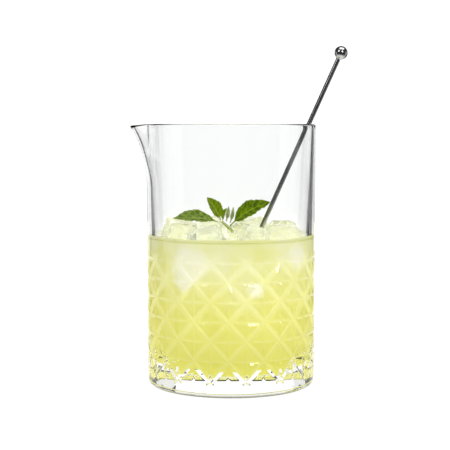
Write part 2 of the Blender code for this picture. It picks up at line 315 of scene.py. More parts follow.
@dataclass(frozen=True)
class LimeDrink:
    """Cloudy lime drink with a painted glow: pale near its surface and where ice lies behind the wall, deeper
    yellow below.
    """

    top: Colour = linear(247, 248, 190)
    middle: Colour = linear(242, 239, 140)
    low: Colour = linear(244, 240, 103)
    pale: Colour = linear(255, 254, 230)
    deep: Colour = linear(226, 222, 92)
    # Painted shade: a darker green line along the waterline, where the surface meets the glass.
    edge: Colour = linear(188, 194, 106)
    # Painted light: a near-white underside that stands in for the light seen through the thick base.
    under: Colour = linear(250, 249, 232)
    froth: Colour = linear(250, 250, 232)
    # Painted light: the drink glows in its own colour, standing in for light scattered through it.
    glow: float = 0.32
    depth: float = 0.086
    painted_light_underside_ends: float = 0.095
    low_starts: float = 0.12
    middle_at: float = 0.55
    top_at: float = 0.97
    patch_share: float = 0.5
    shade_share: float = 0.35
    cloud_share: float = 0.9
    cloud_ragged: float = 1.6
    waterline_shade_at: float = 0.991
    waterline_shade_sharpness: float = 110
    waterline_shade_share: float = 0.6

    CLOUDS = (
        ((-0.0240, -0.0370, 0.0740), 0.0105),
        ((-0.0260, -0.0350, 0.0640), 0.0060),
        ((0.0355, -0.0255, 0.0760), 0.0080),
        ((0.0140, -0.0415, 0.0590), 0.0042),
        ((0.0060, 0.0435, 0.0700), 0.0120),
        ((-0.0400, 0.0180, 0.0620), 0.0090),
        ((0.0380, 0.0220, 0.0740), 0.0100),
    )

    def colours(self, shading: Shading) -> Wire:
        """The drink's colour at a point, which it also glows with: paler where ice lies against the wall,
        with painted light on its underside and a painted shade line at the waterline.
        """
        height = shading.place("Z") / self.depth
        stops = [
            # Painted light: near white below this height, on the underside seen through the base.
            (self.painted_light_underside_ends, self.under),
            (self.low_starts, self.low),
            (self.middle_at, self.middle),
            (self.top_at, self.top),
        ]
        body = shading.ramp(height, stops)
        cloud = shading.grain(34, 3.0, (1, 1, 0.8))
        patch = ((cloud - 0.50) * 5.0).held() * ((height - 0.45) * 2.6).held()
        body = shading.blend(patch * self.patch_share, body, self.pale)
        shade = ((0.47 - shading.grain(60, 2.0)) * 4.0).held()
        body = shading.blend(shade * self.shade_share, body, self.deep)
        for centre, reach in self.CLOUDS:
            spot = shading.node("ShaderNodeTexCoord", {}, {}, "Object")
            measure = {"operation": "DISTANCE"}
            away = shading.node("ShaderNodeVectorMath", measure, {0: spot, 1: centre}, "Value")
            near = ((1.25 - away / reach + (cloud - 0.5) * self.cloud_ragged) * 1.5).held()
            body = shading.blend(near * self.cloud_share, body, self.pale)
        # Painted shade: a darker line just below the open surface, along the waterline.
        line = (1 - (height - self.waterline_shade_at).size() * self.waterline_shade_sharpness).held()
        return shading.blend(line * self.waterline_shade_share, body, self.edge)

    def make(self, name: str, roughness: float, gloss: float, whiteness: float) -> Material:
        """The material.

        Args:
            name: Its name.
            roughness: Its surface's roughness: matt against the glass, glossy where it is open.
            gloss: The strength of its reflections.
            whiteness: How far its colour goes towards froth.

        Returns:
            The material.
        """
        shading = Shading(name)
        colour = shading.blend(whiteness, self.colours(shading), self.froth)
        ripple = shading.bump(shading.grain(110, 2.0), 0.25, 0.4 * MM)
        return shading.finish(
            Base_Color=colour,
            # Painted light: the drink's glow in its own colour.
            Emission_Color=colour,
            Emission_Strength=self.glow,
            Roughness=roughness,
            Specular_IOR_Level=gloss,
            Normal=ripple,
        )


@dataclass(frozen=True)
class WetIce:
    """Wet ice: clear, with a faintly cloudy, lime-tinted body and a painted glow of light."""

    tint: Colour = (0.985, 0.99, 0.955)
    # Painted light: the ice glows faintly, though it is no lamp.
    glow: Colour = linear(240, 243, 205)
    painted_glow_strength: float = 0.09
    clearness: float = 0.82
    roughness: float = 0.02
    refraction: float = 1.31

    def make(self) -> Material:
        """The material."""
        shading = Shading("wet_ice")
        waves = shading.bump(shading.grain(180, 1.0), 0.10, 0.5 * MM)
        return shading.finish(
            Base_Color=self.tint,
            Roughness=self.roughness,
            IOR=self.refraction,
            Transmission_Weight=self.clearness,
            Emission_Color=self.glow,
            Emission_Strength=self.painted_glow_strength,
            Normal=waves,
        )


@dataclass(frozen=True)
class MintLeaf:
    """Fresh mint: darker between its veins, paler along them."""

    blade: Colour
    vein: Colour
    shadow: Colour

    def make(self, name: str) -> Material:
        """The material. It reads the mesh's vein and edge attributes."""
        shading = Shading(name)
        patches = ((shading.grain(420, 3.0) - 0.38) * 3.2).held()
        colour = shading.blend(patches, self.shadow, self.blade)
        colour = shading.blend((shading.attribute("vein") * 0.85).held(), colour, self.vein)
        colour = shading.blend((shading.attribute("edge") * 0.45).held(), colour, self.vein)
        height = shading.grain(1500, 2.0) * 0.6 + shading.attribute("vein") * 0.8
        return shading.finish(
            Base_Color=colour,
            Roughness=0.46 - patches * 0.10,
            Specular_IOR_Level=0.06,
            Normal=shading.bump(height, 0.35, 0.15 * MM),
            # Painted light: a faint glow in the leaf's own colour.
            Emission_Color=colour,
            Emission_Strength=0.02,
        )


@dataclass(frozen=True)
class Steel:
    """Polished stainless steel, with fine lines along a drawn rod."""

    colour: Colour
    roughness: float
    line_strength: float

    def make(self, name: str) -> Material:
        """The material."""
        shading = Shading(name)
        lines = shading.grain(2600, 2.0, (1, 1, 0.05))
        wear = shading.grain(240, 3.0)
        return shading.finish(
            Base_Color=shading.blend((wear * 0.25).held(), self.colour, tuple(c * 0.8 for c in self.colour)),
            Metallic=1.0,
            Roughness=self.roughness + wear * (self.roughness * 0.5),
            Normal=shading.bump(lines, self.line_strength, 0.02 * MM),
        )


# ----------------------------------------------------------
# Mesh helpers


def add_piece(
    name: str, mesh: Mesh, body: Body, slot: Slot, finishes: Sequence[Material], *nodes: str
) -> Object:
    """Links a finished mesh as a piece.

    Args:
        name: The piece's name.
        mesh: Its mesh, in place.
        body: The frame's body that it rides on.
        slot: The record's material slot; not used.
        finishes: Its materials.
        nodes: The CAD nodes that it stands for.

    Returns:
        The piece.
    """
    piece = bpy.data.objects.new(name, mesh)
    bpy.context.scene.collection.objects.link(piece)
    for finish in finishes:
        mesh.materials.append(finish)
    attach(piece, body.value)
    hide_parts(*nodes)
    LOG.info("%s: %d faces, rides on %s", name, len(mesh.polygons), body.value)
    return piece


def as_mesh(name: str, bm: BMesh, sharp_degrees: float = 40.0) -> Mesh:
    """Turns a bmesh into a smooth-shaded mesh whose edges are sharp past an angle, and frees it."""
    mesh = bpy.data.meshes.new(name)
    bm.to_mesh(mesh)
    bm.free()
    mesh.shade_smooth()
    mesh.set_sharp_from_angle(angle=math.radians(sharp_degrees))
    return mesh


def spun(profile: Profile, steps: int, start: float = 0.0) -> BMesh:
    """Spins a profile round Z.

    Args:
        profile: (radius, height) points. Ends on the axis are closed.
        steps: How many columns of faces go round.
        start: The direction of the first column, in radians.

    Returns:
        The closed bmesh, its faces pointing out.
    """
    bm = bmesh.new()
    turn = Matrix.Rotation(start, 3, "Z")
    verts = [bm.verts.new(turn @ Vector((radius, 0, height))) for radius, height in profile]
    edges = [bm.edges.new(pair) for pair in zip(verts, verts[1:])]
    bmesh.ops.spin(
        bm, geom=verts + edges, cent=(0, 0, 0), axis=(0, 0, 1), angle=2 * math.pi, steps=steps,
        use_merge=True, use_duplicate=False,
    )
    bmesh.ops.remove_doubles(bm, verts=bm.verts[:], dist=0.002 * MM)
    bmesh.ops.recalc_face_normals(bm, faces=bm.faces[:])
    return bm


def arc(centre: Pair, radius: float, start: float, end: float, count: int) -> Profile:
    """Points on an arc from start to end, in degrees, both ends included."""
    angles = (math.radians(start + (end - start) * i / count) for i in range(count + 1))
    return [(centre[0] + radius * math.cos(a), centre[1] + radius * math.sin(a)) for a in angles]


def between(low: float, high: float, count: int) -> list[float]:
    """Count + 1 even values from low to high."""
    return [low + (high - low) * i / count for i in range(count + 1)]


# ----------------------------------------------------------
# Vessel


@dataclass
class Vessel:
    """The pressed glass vessel: thick base, cut diamond band, plain upper wall and drawn pouring lip."""

    height: float
    rim_radius: float
    foot_radius: float = 47.8 * MM
    foot_rounding: float = 3.8 * MM
    rim_wall: float = 2.1 * MM
    cavity_radius: float = 44.2 * MM
    cavity_radius_height: float = 89 * MM
    floor_radius: float = 42.5 * MM
    corner_width: float = 30 * MM
    corner_height: float = 33 * MM
    floor_height: float = 7.5 * MM
    lip_reach: float = 9.62 * MM
    lip_start: float = 112 * MM
    lip_half_angle: float = math.radians(22)
    lip_flare: float = 2.3
    lip_rings: int = 16
    lip_ring_power: float = 0.85
    lip_drop: float = 0.9 * MM
    diamonds: int = 15
    steps_per_row: int = 16
    inner_ring: float = 100 * MM
    outer_rings: Pair = (90 * MM, 101 * MM)
    node_row_height: float = 9.2 * MM
    row_pitch: float = 10.8 * MM
    node_direction: float = math.radians(-92.05)
    band_low: float = -0.5
    band_high: float = 6.5625
    slant_depth: float = 0.80 * MM
    slant_half_steps: float = 4.0
    star_depth: float = 0.55 * MM
    star_half_steps: float = 2.0
    sharp_degrees: float = 13
    depth_fades: Pair = (0.5, 1.1)
    # Rows over which the cuts' painted light and shade fade at the band's two ends.
    light_fades: Pair = (0.8, 0.6)

    @classmethod
    def from_frame(cls) -> "Vessel":
        """The vessel at the size of the frame's node."""
        _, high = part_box("glass_vessel")
        return cls(height=high.z, rim_radius=high.x)

    @property
    def columns(self) -> int:
        """Columns of faces round the vessel."""
        return self.diamonds * 2 * self.steps_per_row

    @property
    def column_angle(self) -> float:
        """The angle of one column."""
        return 2 * math.pi / self.columns

    def wall(self, height: float) -> float:
        """The outer wall's radius."""
        return self.foot_radius + (self.rim_radius - self.foot_radius) * height / self.height

    def cavity(self, height: float) -> float:
        """The cavity's radius, above its rounded bottom corner."""
        if height >= self.cavity_radius_height:
            share = (height - self.cavity_radius_height) / (self.height - self.cavity_radius_height)
            return self.cavity_radius + (self.rim_radius - self.rim_wall - self.cavity_radius) * share
        corner_top = self.floor_height + self.corner_height
        share = (height - corner_top) / (self.cavity_radius_height - corner_top)
        return self.floor_radius + (self.cavity_radius - self.floor_radius) * share

    def corner(self, outset: float, count: int) -> Profile:
        """The cavity's bowl-shaped bottom corner from floor to wall, moved out by outset."""
        centre = (self.floor_radius - self.corner_width, self.floor_height + self.corner_height)
        width, height = self.corner_width + outset, self.corner_height + outset
        return [(centre[0] + width * x, centre[1] + height * z) for x, z in arc((0, 0), 1, -90, 0, count)]

    def profile(self) -> Profile:
        """From the cavity's floor, up the inside, over the rim and down the outside to the foot's centre."""
        bead = self.rim_wall / 2
        top = self.height - bead
        rises = (share**self.lip_ring_power for share in between(0, 1, self.lip_rings))
        lip = [self.lip_start + (top - self.lip_start) * rise for rise in rises]
        floor = [(self.floor_radius - self.corner_width) * share for share in between(0, 1, 2)][:-1]
        inside = between(self.floor_height + self.corner_height, self.cavity_radius_height, 3)[1:]
        points = [(radius, self.floor_height) for radius in floor]
        points += self.corner(0, 14)
        points += [(self.cavity(z), z) for z in [*inside, self.inner_ring, *lip[:-1]]]
        points += arc((self.rim_radius - bead, top), bead, 180, 0, 15)
        points += [(self.wall(z), z) for z in reversed([*self.outer_rings, *lip[:-1]])]
        rows = round((self.band_high - self.band_low) * self.steps_per_row)
        points += [(self.wall(z), z) for z in (self.row_height(i) for i in range(rows, -1, -1))]
        foot_centre = (self.foot_radius - self.foot_rounding, self.foot_rounding)
        points += arc(foot_centre, self.foot_rounding, 0, -90, 8)[1:]
        return points + [(foot_centre[0] / 2, 0), (0, 0)]

    def row_height(self, row: int) -> float:
        """The height of a row of vertices in the cut band."""
        return self.node_row_height + self.row_pitch * (self.band_low + row / self.steps_per_row)

    def lattice(self, vert: BMVert) -> tuple[int, int]:
        """The vertex's whole steps round from a groove crossing, and up from the lowest node row."""
        turn = math.atan2(vert.co.y, vert.co.x) - self.node_direction
        up = (vert.co.z - self.node_row_height) / self.row_pitch * self.steps_per_row
        return round(turn / self.column_angle), round(up)

    def in_band(self, spot: Vector) -> bool:
        """Whether a point is on the outer wall within the cut band."""
        low = self.row_height(0) - MM / 10
        high = self.node_row_height + self.row_pitch * self.band_high + MM / 10
        return low < spot.z < high and spot.xy.length > self.foot_radius - MM

    def fade(self, up: float, top: float, bottom: float) -> float:
        """The pattern's strength at a height in rows, fading over so many rows at the band's two ends."""
        return ease((self.band_high - up) / top) * ease((up - self.band_low) / bottom)

    def groove_depth(self, column: int, row: int) -> float:
        """The depth of the slanting, level and upright cuts at a lattice point."""
        unit = self.steps_per_row
        across, up = column / unit, row / unit
        fade = self.fade(up, *self.depth_fades)
        half_slant = self.slant_half_steps * (0.35 + 0.65 * fade)
        depth = 0.0
        for slant in (column - row, column + row):
            off = abs(slant % (2 * unit) - unit)
            depth = max(depth, self.slant_depth * fade * (1 - off / half_slant))
        level, upright = round(up), round(across)
        stars = [(across + level + 1, row - level * unit), (up + upright + 1, column - upright * unit)]
        for place, off in stars if 1 <= level <= 6 else stars[1:]:
            lens = 1 - abs(place % 2 - 1) ** 3
            half_star = self.star_half_steps * max(lens, 0.2)
            depth = max(depth, self.star_depth * fade * lens * (1 - abs(off) / half_star))
        return depth

    def split_slants(self, bm: BMesh) -> None:
        """Splits each face of the band along the nearest slanting groove, which keeps its edges clean."""
        unit = self.steps_per_row
        for face in bm.faces[:]:
            if len(face.verts) != 4 or not all(self.in_band(vert.co) for vert in face.verts):
                continue
            places = {vert: self.lattice(vert) for vert in face.verts}
            rows = sorted({place[1] for place in places.values()})
            columns = sorted({place[0] for place in places.values()})
            if len(rows) != 2 or len(columns) != 2 or columns[1] - columns[0] != 1:
                continue
            rising = abs((columns[0] - rows[0]) % (2 * unit) - unit)
            falling = abs((columns[0] + rows[1]) % (2 * unit) - unit)
            ends = ((columns[0], rows[0]), (columns[1], rows[1]))
            if falling < rising:
                ends = ((columns[1], rows[0]), (columns[0], rows[1]))
            pair = [vert for vert, place in places.items() if place in ends]
            bmesh.utils.face_split(face, *pair)

    def painted_cut_light(self, column: int, row: int) -> Pair:
        """How much painted light a lattice point gets along groove floors and level-cut glints, and how much
        painted shade at groove edges and just below level cuts.
        """
        unit = self.steps_per_row
        fade = self.fade(row / unit, *self.light_fades)
        slants = (column - row, column + row)
        offs = [abs(slant % (2 * unit) - unit) / self.slant_half_steps for slant in slants]
        # Painted light along the floors of the slanting grooves.
        floor = max(clamp01(1.7 - off * 1.3) for off in offs)
        # Painted shade along the edges of the slanting grooves.
        edge = max(clamp01(1 - abs(off - 1.5) * 1.8) for off in offs)
        level, across = round(row / unit), column / unit
        above = row - level * unit
        lens = (1 - abs((across + level + 1) % 2 - 1) ** 3) * (1 <= level <= 6)
        # Painted glint along the level cuts.
        star = lens * clamp01(1.2 - abs(above) / self.star_half_steps)
        # Painted shade just below each level cut, as if lit from above.
        lower = lens * clamp01(-above / 2) * clamp01(1 + above / (0.6 * unit))
        return max(floor, 0.7 * star) * fade, max(edge, 0.7 * lower) * fade * (1 - floor)

    def cut(self, bm: BMesh) -> None:
        """Presses the band's grooves into the outer wall, and stores on its points masks of painted light and
        shade along the grooves and of a painted dark line round the foot's lower edge.
        """
        cut_light_layer = bm.verts.layers.float.new("cut_floor")
        edge_layer = bm.verts.layers.float.new("cut_edge")
        foot_shade_layer = bm.verts.layers.float.new("foot_line")
        foot_centre = Vector((self.foot_radius - self.foot_rounding, self.foot_rounding))
        for vert in bm.verts:
            radius = vert.co.xy.length
            # Painted shade: a dark line round the foot's lower rounding.
            if vert.co.z < self.foot_rounding and radius > foot_centre.x - MM / 10:
                turned = math.atan2(foot_centre.y - vert.co.z, max(radius - foot_centre.x, 0.0))
                vert[foot_shade_layer] = clamp01((math.degrees(turned) - 12) / 36)
            if self.in_band(vert.co):
                spot = self.lattice(vert)
                vert.co.xy *= (radius - self.groove_depth(*spot)) / radius
                # Stores the painted light on the groove floors and the painted shade at their edges.
                vert[cut_light_layer], vert[edge_layer] = self.painted_cut_light(*spot)

    def pull_lip(self, bm: BMesh) -> None:
        """Draws the wall out towards -X near the rim."""
        for vert in bm.verts:
            angle = abs(math.atan2(vert.co.y, -vert.co.x))
            if vert.co.z <= self.lip_start or angle >= self.lip_half_angle:
                continue
            rise = (vert.co.z - self.lip_start) / (self.height - self.lip_start)
            bell = math.cos(math.pi / 2 * angle / self.lip_half_angle) ** 2
            vert.co.xy += vert.co.xy.normalized() * self.lip_reach * bell * rise**self.lip_flare
            vert.co.z -= self.lip_drop * bell * rise**4

    def build(self, finish: Material) -> Object:
        """Builds the vessel and dresses it in clear glass."""
        bm = spun(self.profile(), self.columns, self.node_direction)
        self.split_slants(bm)
        self.cut(bm)
        self.pull_lip(bm)
        mesh = as_mesh("vessel", bm, self.sharp_degrees)
        piece = add_piece("vessel", mesh, Body.GLASS, Slot.GLASS, [finish], "glass_vessel")
        piece.visible_shadow = False
        return piece


# ----------------------------------------------------------
# Ice


@dataclass
class Ice:
    """The floating cubes, melted round and uneven."""

    grain: float = 0.5 * MM
    swell: float = 0.30 * MM
    chips: int = 16
    chip_reach: Pair = (0.76, 0.92)
    smoothings: int = 2
    broad_scale: float = 0.16
    fine_scale: float = 0.4
    seed: int = 5

    def chip(self, bm: BMesh, draw: random.Random) -> None:
        """Breaks flat chips off the cube's corners and edges."""
        centre = sum((vert.co for vert in bm.verts), Vector()) / len(bm.verts)
        for _ in range(self.chips):
            out = Vector([draw.gauss(0, 1) for _ in range(3)]).normalized()
            reach = max(out.dot(vert.co - centre) for vert in bm.verts)
            place = centre + out * reach * draw.uniform(*self.chip_reach)
            geom = bm.verts[:] + bm.edges[:] + bm.faces[:]
            split = bmesh.ops.bisect_plane(bm, geom=geom, plane_co=place, plane_no=out, clear_outer=True)
            rim = [item for item in split["geom_cut"] if isinstance(item, BMEdge)]
            bmesh.ops.contextual_create(bm, geom=rim)

    def cube(self, node: Object, shift: float) -> Mesh:
        """A melted cube that fills its CAD node's place.

        Args:
            node: The CAD node.
            shift: Where in the noise this cube's unevenness is read.

        Returns:
            Its mesh, in place.
        """
        bm = bmesh.new()
        bm.from_mesh(node.data)
        bmesh.ops.remove_doubles(bm, verts=bm.verts[:], dist=0.01 * MM)
        self.chip(bm, random.Random(shift))
        rough = bpy.data.meshes.new("rough")
        bm.to_mesh(rough)
        bm.free()
        source = bpy.data.objects.new("rough", rough)
        bpy.context.scene.collection.objects.link(source)
        remesh = source.modifiers.new("even", "REMESH")
        remesh.mode = "VOXEL"
        remesh.voxel_size = self.grain
        graph = bpy.context.evaluated_depsgraph_get()
        even = bpy.data.meshes.new_from_object(source.evaluated_get(graph))
        bpy.data.objects.remove(source)
        bm = bmesh.new()
        bm.from_mesh(even)
        centre = sum((vert.co for vert in bm.verts), Vector()) / len(bm.verts)
        every_axis = {"use_axis_x": True, "use_axis_y": True, "use_axis_z": True}
        for _ in range(self.smoothings):
            bmesh.ops.smooth_vert(bm, verts=bm.verts[:], factor=0.5, **every_axis)
        offset = Vector((shift, -shift, shift * 2))
        for vert in bm.verts:
            out = (vert.co - centre).normalized()
            spot = vert.co / MM
            broad = noise.noise(spot * self.broad_scale + offset)
            fine = noise.noise(spot * self.fine_scale + offset)
            vert.co += out * self.swell * (0.9 * broad + 0.15 * fine)
        return as_mesh(node.name, bm, 60)

    def build(self, frame: dict[str, Any], finish: Material) -> list[Object]:
        """Builds every cube and dresses it."""
        names = sorted(name for name in frame["nodes"] if name.startswith("ice_cube_"))
        pieces = []
        for index, name in enumerate(names):
            mesh = self.cube(frame["nodes"][name], 7.3 * (index + self.seed))
            pieces.append(add_piece(f"ice_{index + 1:02d}", mesh, Body.CONTENTS, Slot.ICE, [finish], name))
        return pieces


# ----------------------------------------------------------
# Drink


@dataclass
class Drink:
    """The liquid: it wets the glass, creeps up its wall and closes round the ice."""

    level: float
    contact: float = 0.1 * MM
    rings: int = 110
    columns: int = 300
    meniscus_height: float = 1.1 * MM
    meniscus_reach: float = 1.3 * MM
    ice_gap: float = 0.12 * MM
    ripple: float = 0.35 * MM
    ripple_scale: float = 0.09
    ice_depth: float = 25 * MM
    ice_search: float = 60 * MM

    @classmethod
    def from_frame(cls) -> "Drink":
        """The drink filled to the frame's level."""
        _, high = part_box("drink")
        return cls(level=high.z)

    def surface(self, x: float, y: float, wall: float, ice: BVHTree) -> float:
        """The open surface's height at a point."""
        radius = math.hypot(x, y)
        rise = self.meniscus_height * math.exp((radius - wall) / self.meniscus_reach)
        wave = noise.noise(Vector((x, y, 0)) / MM * self.ripple_scale) * self.ripple
        height = self.level + rise + wave
        below = Vector((x, y, self.level - self.ice_depth))
        hit = ice.ray_cast(below, Vector((0, 0, 1)), self.ice_search)[0]
        return height if hit is None else min(height, hit.z - self.ice_gap)

    def build(self, vessel: Vessel, ice: Iterable[Object], body: Material, open_top: Material) -> Object:
        """Builds the drink inside the vessel.

        Args:
            vessel: The vessel that holds it.
            ice: The cubes that float in it.
            body: The finish against the glass.
            open_top: The finish of the open surface.

        Returns:
            The piece.
        """
        wall = vessel.cavity(self.level) + self.contact
        joined = bmesh.new()
        for cube in ice:
            joined.from_mesh(cube.data)
        tree = BVHTree.FromBMesh(joined)
        joined.free()
        floor = (0, vessel.floor_height - self.contact)
        upper = between(vessel.floor_height + vessel.corner_height, self.level, 8)
        side = [(vessel.cavity(z) + self.contact, z) for z in upper[1:]]
        top = [(wall * share, self.level) for share in between(1, 0, self.rings)[1:]]
        bm = spun([floor, *vessel.corner(self.contact, 16), *side, *top], self.columns)
        for vert in bm.verts:
            if vert.co.z > self.level - MM / 100:
                vert.co.z = self.surface(vert.co.x, vert.co.y, wall, tree)
        for face in bm.faces:
            centre = face.calc_center_median()
            inside = centre.xy.length < vessel.cavity(centre.z) + self.contact - MM / 20
            face.material_index = int(inside and centre.z > self.level - self.ice_depth)
        mesh = as_mesh("lime_drink", bm, 50)
        return add_piece("lime_drink", mesh, Body.CONTENTS, Slot.DRINK, [body, open_top], "drink")


# ----------------------------------------------------------
# Stirrer


@dataclass
class Stirrer:
    """The steel rod with a ball on its upper end."""

    tip: Vector
    ball: Vector
    rod_radius: float
    ball_radius: float
    fillet: float = 0.5 * MM
    rod_inset: float = 1.2 * MM
    rod_gap: float = 0.02 * MM

    BALL_ALLOWANCE = 0.03 * MM

    @classmethod
    def from_frame(cls) -> "Stirrer":
        """The stirrer where the frame's rod and ball are, its ball a little smaller to stay in its box."""
        rod_low, rod_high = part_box("stirrer_rod")
        ball_low, ball_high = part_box("stirrer_ball")
        radius = (rod_high.y - rod_low.y) / 2
        tip = Vector((rod_low.x + radius, 0, rod_low.z + radius))
        ball_radius = (ball_high.y - ball_low.y) / 2 - cls.BALL_ALLOWANCE
        return cls(tip, (ball_low + ball_high) / 2, radius, ball_radius)

    def placed(self, profile: Profile, steps: int, name: str) -> Mesh:
        """Spins a profile and lays its axis along the stirrer, with height 0 at the rod's round end."""
        bm = spun(profile, steps)
        along = self.ball - self.tip
        place = Matrix.Translation(self.tip) @ along.to_track_quat("Z", "Y").to_matrix().to_4x4()
        bmesh.ops.transform(bm, matrix=place, verts=bm.verts[:])
        return as_mesh(name, bm, 40)

    def build(self, rod_finish: Material, ball_finish: Material) -> None:
        """Builds the rod and the ball, with the braze's fillet where they meet."""
        length = (self.ball - self.tip).length
        radius = self.rod_radius
        rod_top = length - self.ball_radius + self.rod_inset
        rod = arc((0, 0), radius, -90, 0, 10)
        rod += [(radius, z) for z in between(0, rod_top, 60)[1:]]
        rod.append((0, rod_top))
        rod_mesh = self.placed(rod, 48, "rod")
        add_piece("rod", rod_mesh, Body.STIRRER, Slot.ROD, [rod_finish], "stirrer_rod")
        meet = math.asin((radius + self.fillet) / self.ball_radius)
        throat = length - self.ball_radius * math.cos(meet)
        foot = throat - self.fillet
        ball = [(0, foot), (radius + self.rod_gap, foot)]
        ball += [
            (radius + self.fillet * share**2, throat - self.fillet * (1 - share))
            for share in between(0.25, 0.85, 4)
        ]
        ball += arc((0, length), self.ball_radius, -90 + math.degrees(meet), 90, 28)
        ball_mesh = self.placed(ball, 56, "ball")
        add_piece("ball", ball_mesh, Body.STIRRER, Slot.BALL, [ball_finish], "stirrer_ball")


# ----------------------------------------------------------
# Mint


@dataclass(frozen=True)
class Leaf:
    """One mint leaf, which lies as the frame's node does. Foot, tip, width and arch are in millimetres."""

    name: str
    foot: Triple
    tip: Triple
    stalk_share: float
    width: float
    roll_degrees: float
    arch: float
    side_veins: int = 6
    teeth: int = 8

    STALK_HALF_WIDTH = 0.42
    THICKNESS = 0.28 * MM
    TOOTH = 0.075
    MIDRIB = 0.075
    SIDE_VEIN = 0.085

    @property
    def length(self) -> float:
        """From foot to tip, in millimetres."""
        return (Vector(self.tip) - Vector(self.foot)).length

    def half_width(self, along: float) -> float:
        """Half the width, in millimetres, at a share of the length: a narrow stalk, then a toothed blade."""
        stalk = self.STALK_HALF_WIDTH
        blade = (along - self.stalk_share) / (1 - self.stalk_share)
        if not 0 < blade < 1:
            return stalk
        swell = self.width / 2 * math.sin(math.pi * blade**0.8) ** 0.85
        tooth = (blade * self.teeth) % 1
        notch = self.TOOTH * self.width * tooth * math.sin(math.pi * blade) ** 0.5
        return max(swell * 0.94 + notch, stalk * (1 - 0.6 * blade))

    def vein(self, along: float, across: float) -> float:
        """How much of a vein is at a point: 1 on the midrib or a side vein, 0 between."""
        blade = (along - self.stalk_share) / (1 - self.stalk_share)
        if blade <= 0:
            return 0.6
        off = abs(across)
        midrib = math.exp(-((off / (self.MIDRIB * (1.15 - blade))) ** 2))
        run = blade * self.side_veins - off * 1.35 + off * off * 0.35
        nearest = abs(run - round(run))
        side = math.exp(-((nearest / self.SIDE_VEIN) ** 2)) * (1 - off * 0.45) * (0 < run < self.side_veins)
        return min(1.0, midrib + 0.75 * side)

    def frame(self) -> Matrix:
        """The leaf's own frame, in metres: X from foot to tip, Z off its upper side."""
        foot, tip = Vector(self.foot) * MM, Vector(self.tip) * MM
        forward = (tip - foot).normalized()
        side = Vector((0, 0, 1)).cross(forward).normalized()
        axes = Matrix((forward, side, forward.cross(side))).transposed().to_4x4()
        return Matrix.Translation(foot) @ axes @ Matrix.Rotation(math.radians(self.roll_degrees), 4, "X")

    def mesh(self) -> Mesh:
        """The blade, pillowed between its veins and toothed at its edge, in place."""
        bm = bmesh.new()
        bmesh.ops.create_grid(bm, x_segments=96, y_segments=26, size=1)
        vein_layer = bm.verts.layers.float.new("vein")
        edge_layer = bm.verts.layers.float.new("edge")
        for vert in bm.verts:
            along, across = (vert.co.x + 1) / 2, vert.co.y
            bow = math.sin(math.pi * along)
            vein = self.vein(along, across)
            vert[vein_layer] = vein
            vert[edge_layer] = clamp01((abs(across) - 0.9) * 10)
            fold = self.width * 0.12 * abs(across) * bow
            pillow = 0.016 * self.width * (1 - vein) * bow
            flutter = 0.018 * self.width * across**2 * math.sin(along * 21 + across * 2)
            height = fold + self.arch * bow + pillow + flutter
            vert.co = Vector((along * self.length, across * self.half_width(along), height)) * MM
        bmesh.ops.recalc_face_normals(bm, faces=bm.faces[:])
        bmesh.ops.solidify(bm, geom=bm.faces[:], thickness=self.THICKNESS)
        bmesh.ops.recalc_face_normals(bm, faces=bm.faces[:])
        bmesh.ops.transform(bm, matrix=self.frame(), verts=bm.verts[:])
        return as_mesh(self.name, bm, 50)


